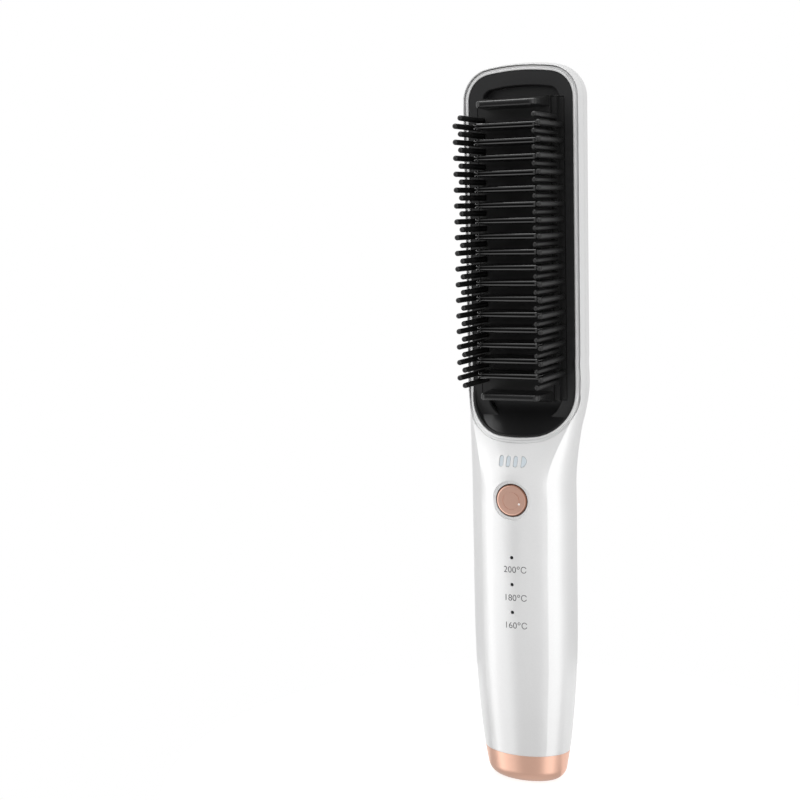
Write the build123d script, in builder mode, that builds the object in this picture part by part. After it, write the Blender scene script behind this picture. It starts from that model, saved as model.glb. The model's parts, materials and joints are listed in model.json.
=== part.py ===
"""Cordless hot comb: a heated comb head on an oval handle.

The comb stands on its end cap. +Z runs up the handle to the head, the teeth point
to -Y, and +X is to the right of someone who looks at the teeth. The origin is the
middle of the flat bottom of the end cap, on the handle's long axis. Millimetres.
"""

import os
from math import acos, asin, cos, degrees, sqrt

from build123d import *

os.makedirs("parts", exist_ok=True)

# ------------------------------------------------------------ driving dimensions
wall = 1.6
fit = 0.15                     # gap between two moulded pieces that slot together
total_length = 249.0
cap_height = 11.0

# Handle: an oval tube, narrower towards the end cap
handle_half_width = 18.65
cell_cover = 3.6               # from the cell's side to the handle's crown, and to its back
seam_narrowing = 3.15          # how much narrower each side is at the cap's seam
seam_thinning = 1.8
taper_length = 43.0            # from the seam up to the full oval
base_narrowing = 1.9           # the cap, from its seam down to its base
base_thinning = 1.7
cap_rounding = 5.5

# Head: a shallow box with a flat rim in front and round edges behind
rim_y = 1.0
parting_depth = 3.5            # from the rim back to the plane where the shells meet
head_half_width = 21.4
rim_narrowing = 0.7            # each side, from the parting plane to the rim
head_back = 17.0
back_rounding = 10.5
head_corner = 11.5
head_crown = 75.0              # radius of the arched top
neck_start = 6.3               # from the button up to where the handle's oval ends
neck_length = 31.0             # from there to the head's straight sides
head_start = 11.0              # from there to the part that is straight all round
straight_run = (28.0, 6.0)     # below the neck: sections that keep the handle straight

# Opening in the front of the head, with a lip and a groove around it
opening_inset = 2.6            # from the widest outline to the opening
opening_start = 4.9            # from the main board's end up to the opening
opening_corner = 14.0
opening_crown = 60.0
lip_width = 0.65
groove_width = 1.05
groove_depth = 0.7

# Tray in the opening
tray_sink = 0.3                # the tray's edge lies below the shell's surface
tray_depth = 5.2               # from the rim to the tray's back
tray_wall = 1.8
tray_edge = 0.6                # flat edge before the shelf starts to fall
shelf_run = 4.1                # the shelf's width, up to the recess for the comb block
shelf_crease = 0.35            # chamfer around the recess
floor_depth = 4.0              # from the rim to the recess's floor
flange_extra = 0.35            # the flange behind the opening's lip
window_margin = 1.1            # from the fins' ends to the window behind the plate
window_end = 4.9               # and from the block's end to it
ramp_middle_rise = 6.5         # the ramp halfway, above the opening's low end
ramp_middle_step = 3.6         # and how far it stands in front of the floor there
ramp_end_drop = 1.0
ramp_end_step = 12.5

# Comb block: fins between two rows of teeth
fin_pitch = 5.2
first_fin_rise = 21.8          # from the opening's low end to the first fin
last_fin_drop = 21.0           # least room from the last fin to the head's tip
fin_thickness = 2.1
fin_side = 9.7                 # from the head's side to the fins' ends
fin_height = 11.8
tooth_root_depth = 0.5         # below the rim
tooth_height = 23.2
inner_tooth_height = 20.4
tooth_root_radius = 1.0
tooth_tip_radius = 0.9
outer_tooth_step = 2.7         # from the fins' ends to the outer row of teeth
inner_tooth_step = 1.15        # and to the inner row
plate_rise = 3.0               # the plate stands this far in front of the teeth's roots
plate_thickness = 4.0
end_bar_gap = 4.95             # from an end fin's face to the end bar
end_bar_top = 2.2
end_bar_root = 3.8
rail_inner_step = 2.1          # how far the rail's inner step stands proud
rail_width = 3.6
rail_seat = 1.7                # the rail's foot, behind the plate's back
rail_end_gap = 0.6             # each rail stops this far short of the plate's ends
end_bar_narrowing = 1.3
fin_corner = 2.0
fin_rounding = 0.8

# Heater behind the comb block
heater_thickness = 3.2
heater_half_width = 7.0
heater_end = 10.4              # from the block's end to the heaters
heater_gap = 2.0
mica_thickness = 0.5
clamp_thickness = 0.8
clamp_overlap = 1.6            # of the clamp on the tray, each side of the window
clamp_end = 13.4               # from the block's end to the clamp
clamp_screw_x = 9.7
clamp_screw_end = 8.0          # from the clamp's end to its screws
clamp_boss_radius = 2.0
blanket_thickness = 1.0
blanket_half_width = 9.5
blanket_end_gap = 5.0
sensor_x = 6.0                 # thermal fuse on the right, thermistor on the left
fuse_radius = 1.6
fuse_length = 10.0
bead_radius = 1.2
bead_length = 4.0
lead_x = 3.0
lead_radius = 0.7
lead_bend = 2.5

# Power button and its switch
button_rise = 7.3              # from the main board's low end
button_radius = 5.6
button_travel = 0.5
button_sink = 0.3              # the button's face, below the handle's crown
button_edge = 0.9
ring_radius = 3.0              # engraved ring on the button's face
ring_width = 0.3
ring_depth = 0.15
well_radius = 6.8
well_depth = 0.9
seat_radius = 8.0
seat_depth = 3.4               # the button's seat, behind the crown
button_flange = 0.8
button_flange_reach = 1.0
stem_radius = 2.0
switch_width = 6.0
switch_height = 2.6
plunger_radius = 1.7
plunger_length = 2.1
plunger_stand = 0.9            # how far the plunger stands out of the switch
plunger_gap = 0.05             # between the button's stem and the plunger

# Lights on the handle
gauge_rise = 13.2              # from the button's middle
gauge_x = (-4.1, -1.5, 1.1, 3.9)
gauge_bar = (1.5, 3.6)
guide_depth = 6.7              # the light guide's back, behind the crown
guide_plate = 0.8
lamp_drops = (39.0, 29.2, 19.8)  # below the button
lamp_radius = 0.62
lens_sink = 0.1                # lenses end this far below the surface
lens_gap = 0.1
led_height = 0.6
gauge_led = (1.0, 1.6)         # width and height
lamp_led = (1.6, 0.8)
guide_margin = 0.3             # the guide's plate, around its windows

# Electronics
board_depth = 8.6              # the main board's front, behind the crown
board_thickness = 1.6
board_half_width = 11.0
board_length = 23.2
board_gap = 0.4                # between the battery cradle and the main board
board_screw_x = 8.2
board_screw_edge = 2.7
chips = (                      # x, z from the board's middle, width, height, depth
    (0, -3.5, 7.0, 7.0, 1.0),
    (-7.6, 0, 4.6, 6.0, 1.8),
    (7.6, 0, 4.6, 6.0, 1.8),
    (0, -9.2, 7.5, 3.4, 3.0),
)
lamp_board_depth = 4.2         # its back, behind the crown
lamp_board_end = 4.5           # below the lowest lamp
lamp_board_thickness = 0.8
lamp_board_half_width = 4.0
cell_radius = 9.2
cell_length = 65.0
cell_start = 4.2               # from the charging board's end to the cell
cell_gap = 0.3                 # between the lamp board and the cell
tab_thickness = 0.2
tab_half_width = 3.0
tab_reach = 6.0
cell_rounding = 0.6
cradle_thickness = 1.05
cradle_end = 1.5
cradle_rib = 2.0

# Charging socket and the carrier that holds it in the end of the handle
socket_half_width = 4.47
socket_half_depth = 1.63
socket_low = 0.9
socket_high = 8.2
socket_shell = 0.3
socket_rounding = 1.2
tongue_half_width = 3.3
tongue_thickness = 0.7
tongue_sink = 0.8
slot_gap = 0.3                 # around the socket, in the cap's base
charge_board_step = 3.5        # from the socket's mouth to the board's end
charge_board_high = 23.0
charge_board_thickness = 1.0
charge_board_half_width = 7.0
cap_wall = 1.4
cap_floor = 4.0
carrier_length = 9.0           # above the cap's seam
carrier_screw_x = 9.9
carrier_boss_length = 5.0
carrier_screw_depth = 3.4      # the heads' seats, from the carrier's low face

# Screws: a pan head on a plain shank
screw_radius = 1.0
screw_head_radius = 1.9
screw_head_height = 1.3
screw_clearance = 0.15
pilot_clearance = 0.05
boss_radius = 2.1
shell_screw_x = 8.0
shell_post_radius = 3.3
shell_post_gap = 3.8           # from the tray's back to the posts of the rear shell
shell_screw_floor = 2.2        # material under each of those screws' heads
shell_screw_inset = 2.5        # from the block's ends to the screws
tray_boss_radius = 2.6
screw_grip = 3.6               # length of thread in plastic
pilot_extra = 0.4              # a pilot hole goes this much deeper than its screw
skin = 1.5                     # material left in front of a blind hole in the plate
stand_off = 0.1                # small gap that keeps pieces from pressing on each other


# ------------------------------------------------------------ values that follow
part_y = rim_y + parting_depth
tray_back = rim_y + tray_depth
tooth_root_y = rim_y + tooth_root_depth
plate_front = tooth_root_y - plate_rise
carrier_high = cap_height + carrier_length
handle_half_depth = cell_radius + cell_cover
front_crown = -handle_half_depth
seat_y = front_crown + seat_depth
guide_back = front_crown + guide_depth
board_front = front_crown + board_depth
lamp_board_back = front_crown + lamp_board_depth
cell_y = lamp_board_back + cell_gap + cell_radius
cell_low = charge_board_high + cell_start
cell_high = cell_low + cell_length
cradle_low = cell_low - tab_thickness - cradle_end - stand_off
cradle_high = cell_high + tab_thickness + cradle_end + stand_off
board_low = cradle_high + board_gap
board_high = board_low + board_length
button_z = board_low + button_rise
gauge_z = button_z + gauge_rise
lamp_z = [button_z - drop for drop in lamp_drops]
neck_low = button_z + neck_start
neck_high = neck_low + neck_length
head_low = neck_high + head_start
opening_low = board_high + opening_start
first_fin_z = opening_low + first_fin_rise
fin_count = 1 + int((total_length - last_fin_drop - first_fin_z) / fin_pitch)
rim_slope = rim_narrowing / parting_depth
fin_heights = [first_fin_z + fin_pitch * i for i in range(fin_count)]
last_fin_z = fin_heights[-1]
inner_heights = [first_fin_z + fin_pitch * (i - 0.5) for i in range(fin_count + 1)]
fin_top = plate_front - fin_height
plate_back = plate_front + plate_thickness
bar_low_z = first_fin_z - fin_thickness / 2 - end_bar_gap
bar_high_z = last_fin_z + fin_thickness / 2 + end_bar_gap
block_low = bar_low_z - end_bar_root
block_high = bar_high_z + end_bar_root
fin_half_length = head_half_width - fin_side
outer_tooth_x = fin_half_length + outer_tooth_step
inner_tooth_x = fin_half_length + inner_tooth_step
window_half_width = fin_half_length + window_margin
clamp_half_width = window_half_width + clamp_overlap
rail_in_x = fin_half_length + fit
rail_out_x = rail_in_x + rail_width
rail_step_x = (inner_tooth_x + outer_tooth_x) / 2
rail_back = plate_back + rail_seat
rail_low = block_low + rail_end_gap
rail_high = block_high - rail_end_gap
floor_y = rim_y + floor_depth
tray_face = rim_y + tray_sink
crease_y = tooth_root_y + shelf_crease
recess_inset = fit + tray_edge + shelf_run + shelf_crease
clamp_back = tray_back + clamp_thickness
block_middle = (block_low + block_high) / 2
heater_length = (block_high - block_low - heater_gap) / 2 - heater_end
clamp_half_length = (block_high - block_low) / 2 - clamp_end
shell_post_front = tray_back + shell_post_gap
shell_screw_seat = shell_post_front + shell_screw_floor
board_back = board_front + board_thickness
board_middle = (board_low + board_high) / 2
hole_radius = screw_radius + screw_clearance
pilot_radius = screw_radius + pilot_clearance
shell_screw_z = (block_low + shell_screw_inset, block_high - shell_screw_inset)
board_screws = [
    (x, z)
    for x in (-board_screw_x, board_screw_x)
    for z in (board_low + board_screw_edge, board_high - board_screw_edge)
]
shell_screw_tip = shell_post_front - 1.5 * screw_grip
shell_screws = [(x, z) for x in (-shell_screw_x, shell_screw_x) for z in shell_screw_z]
clamp_screws = [
    (x, z)
    for x in (-clamp_screw_x, clamp_screw_x)
    for z in (
        block_middle - clamp_half_length + clamp_screw_end,
        block_middle + clamp_half_length - clamp_screw_end,
    )
]


# ------------------------------------------------------------ planes and helpers
def level(z):
    """Sketch plane across the comb at height z."""
    return Plane.XY.offset(z)


def facing(y):
    """Sketch plane at depth y, seen from the teeth's side: X to the right, Z up."""
    return Plane.XZ.offset(-y)


def box_between(low, high, mode=Mode.ADD):
    """Box between two corners, in the part that is being built."""
    size = [b - a for a, b in zip(low, high)]
    middle = [(a + b) / 2 for a, b in zip(low, high)]
    with Locations(tuple(middle)):
        Box(*size, mode=mode)


def rod_y(x, z, front, back, radius, mode=Mode.ADD):
    """Cylinder that runs front to back."""
    with Locations(Location((x, (front + back) / 2, z), (90, 0, 0))):
        Cylinder(radius, back - front, mode=mode)


def rod_z(x, y, low, high, radius, mode=Mode.ADD):
    """Upright cylinder."""
    with Locations((x, y, (low + high) / 2)):
        Cylinder(radius, high - low, mode=mode)


def screw_y(x, z, head_back, tip):
    """Screw that is driven in from behind: its head ends at head_back."""
    rod_y(x, z, head_back - screw_head_height, head_back, screw_head_radius)
    rod_y(x, z, tip, head_back - screw_head_height, screw_radius)


def arched_end(half_width, tip, corner, crown, up):
    """Two corner arcs and the arc across the tip. Gives the height where the sides start."""
    reach = crown - corner
    centre_x = half_width - corner
    rise = sqrt(reach**2 - centre_x**2)
    crown_z = tip - up * crown
    corner_z = crown_z + up * rise
    turn = degrees(acos(centre_x / reach))
    CenterArc((centre_x, corner_z), corner, 0, up * turn)
    CenterArc((0, crown_z), crown, up * turn, up * (180 - 2 * turn))
    CenterArc((-centre_x, corner_z), corner, up * (180 - turn), up * turn)
    return corner_z


def head_outline(inset):
    """Front view of the head above head_low, inset from its widest outline."""
    half = head_half_width - inset
    side_top = arched_end(
        half, total_length - inset, head_corner - inset, head_crown - inset, 1
    )
    Polyline((-half, side_top), (-half, head_low), (half, head_low), (half, side_top))


def opening_outline(inset):
    """Front view of the opening, inset from its own edge."""
    drop = opening_inset + inset
    half = head_half_width - drop
    top = arched_end(half, total_length - drop, head_corner - drop, head_crown - drop, 1)
    low = arched_end(
        half, opening_low + inset, opening_corner - inset, opening_crown - inset, -1
    )
    Line((-half, top), (-half, low))
    Line((half, top), (half, low))


def gauge_windows(gap):
    """The light windows in the handle: three bars and a half-round one."""
    width, height = gauge_bar[0] - 2 * gap, gauge_bar[1] - 2 * gap
    with Locations([(x, gauge_z) for x in gauge_x[:3]]):
        RectangleRounded(width, height, width / 2.1)
    left = gauge_x[3] - gauge_bar[0] / 2 + gap
    bulge = left + 1.25 * gauge_bar[0] - 2 * gap
    low_corner, high_corner = (left, gauge_z - height / 2), (left, gauge_z + height / 2)
    with BuildLine() as half_round:
        ThreePointArc(low_corner, (bulge, gauge_z), high_corner)
        Line(high_corner, low_corner)
    make_face(half_round.edges())


def prism(draw, inset, front, back):
    """Solid between two depths with the outline that draw makes."""
    with BuildPart() as solid:
        with BuildSketch(facing(back)):
            with BuildLine():
                draw(inset)
            make_face()
        extrude(amount=back - front)
    return solid.part


def handle_stations(inset):
    """Height, half width and half depth of the handle's oval sections."""
    sections = []
    for rise, share in ((0, 1.0), (0.26, 0.56), (0.58, 0.21), (1.0, 0.02)):
        sections.append(
            (
                cap_height + rise * taper_length,
                handle_half_width - seam_narrowing * share - inset,
                handle_half_depth - seam_thinning * share - inset,
            )
        )
    for drop in (*straight_run, 0):
        sections.append((neck_low - drop, handle_half_width - inset, handle_half_depth - inset))
    return sections


def head_stations():
    return (neck_high, (neck_high + head_low) / 2, head_low)


def front_form(inset):
    """Everything in front of the parting plane, with its surface moved in by inset."""
    slope_share = (part_y - rim_y - inset) * rim_slope
    with BuildPart() as form:
        for z, half_width, half_depth in handle_stations(inset):
            side = degrees(asin(part_y / half_depth))
            oval = (0, 0), half_width, half_depth
            with BuildSketch(level(z)):
                with BuildLine():
                    EllipticalCenterArc(*oval, 180 - side, arc_size=50 + side)
                    EllipticalCenterArc(*oval, 230, arc_size=80)
                    EllipticalCenterArc(*oval, 310, arc_size=50 + side)
                    edge_x = half_width * cos(asin(part_y / half_depth))
                    Line((edge_x, part_y), (-edge_x, part_y))
                make_face()
        for z in head_stations():
            half = head_half_width - inset
            rim = half - slope_share
            with BuildSketch(level(z)):
                with BuildLine():
                    Line((-half, part_y), (-rim, rim_y + inset))
                    Line((-rim, rim_y + inset), (rim, rim_y + inset))
                    Line((rim, rim_y + inset), (half, part_y))
                    Line((half, part_y), (-half, part_y))
                make_face()
        loft()
        for y, drop in ((part_y, inset), (rim_y + inset, inset + slope_share)):
            with BuildSketch(facing(y)):
                with BuildLine():
                    head_outline(drop)
                make_face()
        loft(ruled=True)
    return form.part


def rear_form(inset):
    """Everything behind the parting plane, with its surface moved in by inset."""
    back = head_back - inset
    rounding = back_rounding - inset
    with BuildPart() as form:
        for z, half_width, half_depth in handle_stations(inset):
            side = degrees(asin(part_y / half_depth))
            stops = (side, side + 10, 65, 115, 170 - side, 180 - side)
            oval = (0, 0), half_width, half_depth
            with BuildSketch(level(z)):
                with BuildLine():
                    for start, end in zip(stops, stops[1:]):
                        EllipticalCenterArc(*oval, start, arc_size=end - start)
                    edge_x = half_width * cos(asin(part_y / half_depth))
                    Line((-edge_x, part_y), (edge_x, part_y))
                make_face()
        for z in head_stations():
            half = head_half_width - inset
            arc_x, arc_y = half - rounding, back - rounding
            with BuildSketch(level(z)):
                with BuildLine():
                    Line((half, part_y), (half, arc_y))
                    CenterArc((arc_x, arc_y), rounding, 0, 90)
                    Line((arc_x, back), (-arc_x, back))
                    CenterArc((-arc_x, arc_y), rounding, 90, 90)
                    Line((-half, arc_y), (-half, part_y))
                    Line((-half, part_y), (half, part_y))
                make_face()
        loft()
    with BuildPart() as block:
        add(prism(head_outline, inset, part_y, back))
        rim = block.faces().sort_by(Axis.Y)[-1].edges()
        fillet(rim.sort_by(Axis.Z)[1:], rounding)
    with BuildPart() as whole:
        add(form.part)
        add(block.part)
    return whole.part


outer_front = front_form(0)
inner_front = front_form(wall)
outer_rear = rear_form(0)
inner_rear = rear_form(wall)
opening_prism = prism(opening_outline, 0, front_crown - wall, part_y)

with BuildPart() as groove_ring:
    add(prism(opening_outline, -lip_width - groove_width, front_crown - wall, part_y))
    add(prism(opening_outline, -lip_width, front_crown - wall, part_y), mode=Mode.SUBTRACT)
    add(front_form(groove_depth), mode=Mode.SUBTRACT)


# ------------------------------------------------------------ shells
front_core = front_form(wall / 2)
boss_low = carrier_high + stand_off
boss_high = boss_low + carrier_boss_length

with BuildPart() as front_posts:
    for x, z in board_screws:
        rod_y(x, z, front_crown, board_front, boss_radius)
    rod_y(0, button_z, front_crown, seat_y, seat_radius)
    for side in (-1, 1):
        rod_z(side * carrier_screw_x, 0, boss_low, boss_high, boss_radius)
        ends = sorted((side * carrier_screw_x, side * handle_half_width))
        box_between((ends[0], -boss_radius, boss_low), (ends[1], boss_radius, boss_high))
    add(front_core, mode=Mode.INTERSECT)

with BuildPart() as front_shell:
    add(outer_front)
    add(inner_front, mode=Mode.SUBTRACT)
    add(front_posts.part)
    add(opening_prism, mode=Mode.SUBTRACT)
    add(groove_ring.part, mode=Mode.SUBTRACT)
    rod_y(0, button_z, 2 * front_crown, front_crown + well_depth, well_radius, Mode.SUBTRACT)
    rod_y(0, button_z, front_crown, 0, button_radius + fit, Mode.SUBTRACT)
    for z in lamp_z:
        rod_y(0, z, front_crown - wall, 0, lamp_radius, Mode.SUBTRACT)
    with BuildSketch(facing(0)):
        gauge_windows(0)
    extrude(amount=2 * handle_half_depth, mode=Mode.SUBTRACT)
    for x, z in board_screws:
        pilot_front = board_front - screw_grip - pilot_extra
        rod_y(x, z, pilot_front, board_front, pilot_radius, Mode.SUBTRACT)
    for side in (-1, 1):
        rod_z(side * carrier_screw_x, 0, boss_low, boss_high, pilot_radius, Mode.SUBTRACT)
front_shell.part.label = "front_shell"
export_step(front_shell.part, "parts/front_shell.step")

with BuildPart() as rear_posts:
    for x, z in shell_screws:
        rod_y(x, z, shell_post_front, head_back, shell_post_radius)
    add(rear_form(wall / 2), mode=Mode.INTERSECT)

with BuildPart() as rear_shell:
    add(outer_rear)
    add(inner_rear, mode=Mode.SUBTRACT)
    add(rear_posts.part)
    for x, z in shell_screws:
        rod_y(x, z, shell_screw_seat, 2 * head_back, screw_head_radius + fit, Mode.SUBTRACT)
        rod_y(x, z, 0, shell_screw_seat, hole_radius, Mode.SUBTRACT)
rear_shell.part.label = "rear_shell"
export_step(rear_shell.part, "parts/rear_shell.step")

with BuildPart() as shell_screw_set:
    for x, z in shell_screws:
        screw_y(x, z, shell_screw_seat + screw_head_height, shell_screw_tip)
shell_screw_set.part.label = "shell_screws"
export_step(shell_screw_set.part, "parts/shell_screws.step")


# ------------------------------------------------------------ head tray
with BuildPart() as tray_limit:
    add(front_form(tray_sink))
    box_between(
        (-head_half_width, part_y, cap_height), (head_half_width, tray_back, total_length)
    )

with BuildPart() as scoop:
    for y, drop in (
        (tray_face, recess_inset - shelf_run - shelf_crease),
        (tooth_root_y, recess_inset - shelf_crease),
        (crease_y, recess_inset),
    ):
        with BuildSketch(facing(y)):
            with BuildLine():
                opening_outline(drop)
            make_face()
    loft(ruled=True)
    add(prism(opening_outline, fit + tray_edge, 2 * front_crown, tray_face))
    add(prism(opening_outline, recess_inset, crease_y, floor_y))
    with BuildSketch(Plane.YZ):
        with BuildLine():
            ramp = Spline(
                (floor_y, block_low),
                (floor_y - ramp_middle_step, opening_low + ramp_middle_rise),
                (floor_y - ramp_end_step, opening_low - ramp_end_drop),
                tangents=((0, -1), (-0.75, -0.55)),
            )
            Polyline(
                ramp @ 1,
                (2 * front_crown, opening_low - ramp_end_drop),
                (2 * front_crown, total_length),
                (floor_y, total_length),
                ramp @ 0,
            )
        make_face()
    extrude(amount=head_half_width, both=True, mode=Mode.INTERSECT)

with BuildPart() as ramp_pocket:
    add(prism(opening_outline, fit + tray_wall, 2 * front_crown, tray_back))
    box_between(
        (-head_half_width, 2 * front_crown, opening_low),
        (head_half_width, tray_back, block_low - tray_wall),
        Mode.INTERSECT,
    )
    with Locations((0, tray_wall, 0)):
        add(scoop.part, mode=Mode.SUBTRACT)

with BuildPart() as head_tray:
    add(prism(opening_outline, fit, 2 * front_crown, tray_back))
    add(tray_limit.part, mode=Mode.INTERSECT)
    add(prism(opening_outline, -flange_extra, rim_y + wall + fit, tray_back))
    add(scoop.part, mode=Mode.SUBTRACT)
    add(ramp_pocket.part, mode=Mode.SUBTRACT)
    box_between(
        (-rail_out_x - fit, plate_back, block_low - fit),
        (rail_out_x + fit, tray_back, block_high + fit),
    )
    for side in (-1, 1):
        ends = sorted((side * (rail_in_x - fit / 2), side * (rail_out_x + fit)))
        box_between(
            (ends[0], front_crown, rail_low - fit),
            (ends[1], rail_back, rail_high + fit),
            Mode.SUBTRACT,
        )
    box_between(
        (-window_half_width, 0, block_low + window_end),
        (window_half_width, head_back, block_high - window_end),
        Mode.SUBTRACT,
    )
    for x, z in shell_screws:
        rod_y(x, z, tray_back, shell_post_front - stand_off, tray_boss_radius)
        rod_y(x, z, shell_screw_tip - pilot_extra, shell_post_front, pilot_radius, Mode.SUBTRACT)
head_tray.part.label = "head_tray"
export_step(head_tray.part, "parts/head_tray.step")


# ------------------------------------------------------------ comb block
with BuildPart() as fin:
    with BuildSketch(level(-fin_thickness / 2)) as fin_profile:
        with Locations((0, (fin_top + plate_front) / 2)):
            Rectangle(2 * fin_half_length, fin_height)
        tips = fin_profile.vertices().sort_by(Axis.Y)[:2]
        fillet(tips, fin_corner)
    extrude(amount=fin_thickness)
    crest = [
        edge
        for face in fin.faces().filter_by(Axis.Z)
        for edge in face.edges().sort_by(Axis.Y)[:-1]
    ]
    fillet(crest, fin_rounding)

with BuildPart() as heating_plate:
    box_between(
        (-fin_half_length, plate_front, block_low), (fin_half_length, plate_back, block_high)
    )
    with Locations([(0, 0, z) for z in fin_heights]):
        add(fin.part)
    for x, z in clamp_screws:
        rod_y(x, z, plate_back, tray_back, clamp_boss_radius)
        rod_y(x, z, plate_front + skin, tray_back, pilot_radius, Mode.SUBTRACT)
heating_plate.part.label = "heating_plate"
export_step(heating_plate.part, "parts/heating_plate.step")


def make_tooth(height):
    """A tooth that stands at the origin and points to -Y, with a round tip."""
    with BuildPart() as tooth:
        with BuildSketch(Plane.XY):
            with BuildLine():
                Line((0, 0), (tooth_root_radius, 0))
                Line((tooth_root_radius, 0), (tooth_tip_radius, tooth_tip_radius - height))
                CenterArc((0, tooth_tip_radius - height), tooth_tip_radius, 0, -90)
                Line((0, -height), (0, 0))
            make_face()
        revolve(axis=Axis.Y)
    return tooth.part


outer_tooth = make_tooth(tooth_height)
inner_tooth = make_tooth(inner_tooth_height)
step_y = tooth_root_y - rail_inner_step

with BuildPart() as right_comb_strip:
    box_between((rail_in_x, tooth_root_y, rail_low), (rail_out_x, rail_back, rail_high))
    box_between((rail_in_x, step_y, rail_low), (rail_step_x, tooth_root_y, rail_high))
    with Locations([(outer_tooth_x, tooth_root_y, z) for z in fin_heights]):
        add(outer_tooth)
    with Locations([(inner_tooth_x, step_y, z) for z in inner_heights]):
        add(inner_tooth)
right_comb_strip.part.label = "right_comb_strip"
export_step(right_comb_strip.part, "parts/right_comb_strip.step")

with BuildPart() as left_comb_strip:
    add(right_comb_strip.part)
    mirror(about=Plane.YZ, mode=Mode.REPLACE)
left_comb_strip.part.label = "left_comb_strip"
export_step(left_comb_strip.part, "parts/left_comb_strip.step")

for name, inner_z, up in (("upper_end_bar", bar_high_z, 1), ("lower_end_bar", bar_low_z, -1)):
    with BuildPart() as end_bar:
        for y, depth, half in (
            (plate_front, end_bar_root, fin_half_length),
            (fin_top, end_bar_top, fin_half_length - end_bar_narrowing),
        ):
            with BuildSketch(facing(y)):
                with Locations((0, inner_z + up * depth / 2)):
                    Rectangle(2 * half, depth)
        loft(ruled=True)
        fillet(end_bar.faces().sort_by(Axis.Y)[0].edges().filter_by(Axis.Z), fin_corner)
        sides = end_bar.faces().sort_by(Axis.Z)
        crest = [
            edge
            for face in (sides[0], sides[-1])
            for edge in face.edges().sort_by(Axis.Y)[:-1]
        ]
        fillet(crest, fin_rounding)
    end_bar.part.label = name
    export_step(end_bar.part, f"parts/{name}.step")


# ------------------------------------------------------------ heater
heater_low = block_middle - heater_length - heater_gap / 2
heater_middle = plate_back + heater_thickness / 2
with BuildPart() as ptc_heaters:
    for i in range(2):
        low = heater_low + i * (heater_length + heater_gap)
        box_between(
            (-heater_half_width, plate_back, low),
            (heater_half_width, plate_back + heater_thickness, low + heater_length),
        )
ptc_heaters.part.label = "ptc_heaters"
export_step(ptc_heaters.part, "parts/ptc_heaters.step")

with BuildPart() as mica_sheet:
    box_between(
        (-heater_half_width, tray_back - mica_thickness, heater_low),
        (heater_half_width, tray_back, 2 * block_middle - heater_low),
    )
mica_sheet.part.label = "mica_sheet"
export_step(mica_sheet.part, "parts/mica_sheet.step")

with BuildPart() as heater_clamp:
    box_between(
        (-clamp_half_width, tray_back, block_middle - clamp_half_length),
        (clamp_half_width, clamp_back, block_middle + clamp_half_length),
    )
    for x, z in clamp_screws:
        rod_y(x, z, tray_back, clamp_back, hole_radius, Mode.SUBTRACT)
heater_clamp.part.label = "heater_clamp"
export_step(heater_clamp.part, "parts/heater_clamp.step")

with BuildPart() as clamp_screw_set:
    for x, z in clamp_screws:
        screw_y(x, z, clamp_back + screw_head_height, plate_front + skin + pilot_extra)
clamp_screw_set.part.label = "clamp_screws"
export_step(clamp_screw_set.part, "parts/clamp_screws.step")

with BuildPart() as thermal_fuse:
    fuse_y = clamp_back + fuse_radius + stand_off
    rod_z(sensor_x, fuse_y, block_middle, block_middle + fuse_length, fuse_radius)
thermal_fuse.part.label = "thermal_fuse"
export_step(thermal_fuse.part, "parts/thermal_fuse.step")

with BuildPart() as thermistor:
    bead_y = clamp_back + bead_radius + stand_off
    rod_z(-sensor_x, bead_y, block_middle, block_middle + bead_length, bead_radius)
thermistor.part.label = "thermistor"
export_step(thermistor.part, "parts/thermistor.step")

with BuildPart() as heat_blanket:
    inside = head_back - wall
    box_between(
        (-blanket_half_width, inside - blanket_thickness, head_low + fit),
        (blanket_half_width, inside, shell_screw_z[1] - blanket_end_gap),
    )
heat_blanket.part.label = "heat_blanket"
export_step(heat_blanket.part, "parts/heat_blanket.step")


# ------------------------------------------------------------ power button and switch
button_face = front_crown + button_sink
flange_front = seat_y + stand_off
flange_back = flange_front + button_flange
plunger_front = board_front - switch_height - plunger_stand
stem_back = plunger_front - plunger_gap

with BuildPart() as power_button:
    rod_y(0, button_z, button_face, flange_front, button_radius)
    fillet(power_button.edges().sort_by(Axis.Y)[0], button_edge)
    rod_y(0, button_z, flange_front, flange_back, button_radius + button_flange_reach)
    rod_y(0, button_z, flange_back, stem_back, stem_radius)
    with BuildSketch(facing(button_face)):
        with Locations((0, button_z)):
            Circle(ring_radius + ring_width / 2)
            Circle(ring_radius - ring_width / 2, mode=Mode.SUBTRACT)
    extrude(amount=-ring_depth, mode=Mode.SUBTRACT)
power_button.part.label = "power_button"
export_step(power_button.part, "parts/power_button.step")

half_switch = switch_width / 2
with BuildPart() as switch_body:
    box_between(
        (-half_switch, board_front - switch_height, button_z - half_switch),
        (half_switch, board_front, button_z + half_switch),
    )
    plunger_back = plunger_front + plunger_length
    well_back = plunger_back + button_travel + stand_off
    rod_y(0, button_z, plunger_front, well_back, plunger_radius + stand_off, Mode.SUBTRACT)
switch_body.part.label = "switch_body"
export_step(switch_body.part, "parts/switch_body.step")

with BuildPart() as switch_plunger:
    rod_y(0, button_z, plunger_front, plunger_back, plunger_radius)
switch_plunger.part.label = "switch_plunger"
export_step(switch_plunger.part, "parts/switch_plunger.step")


# ------------------------------------------------------------ boards and lights
with BuildPart() as main_board:
    box_between(
        (-board_half_width, board_front, board_low), (board_half_width, board_back, board_high)
    )
    for x, z in board_screws:
        rod_y(x, z, board_front, board_back, hole_radius, Mode.SUBTRACT)
main_board.part.label = "main_board"
export_step(main_board.part, "parts/main_board.step")

with BuildPart() as board_screw_set:
    for x, z in board_screws:
        screw_y(x, z, board_back + screw_head_height, board_front - screw_grip)
board_screw_set.part.label = "board_screws"
export_step(board_screw_set.part, "parts/board_screws.step")

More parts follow.
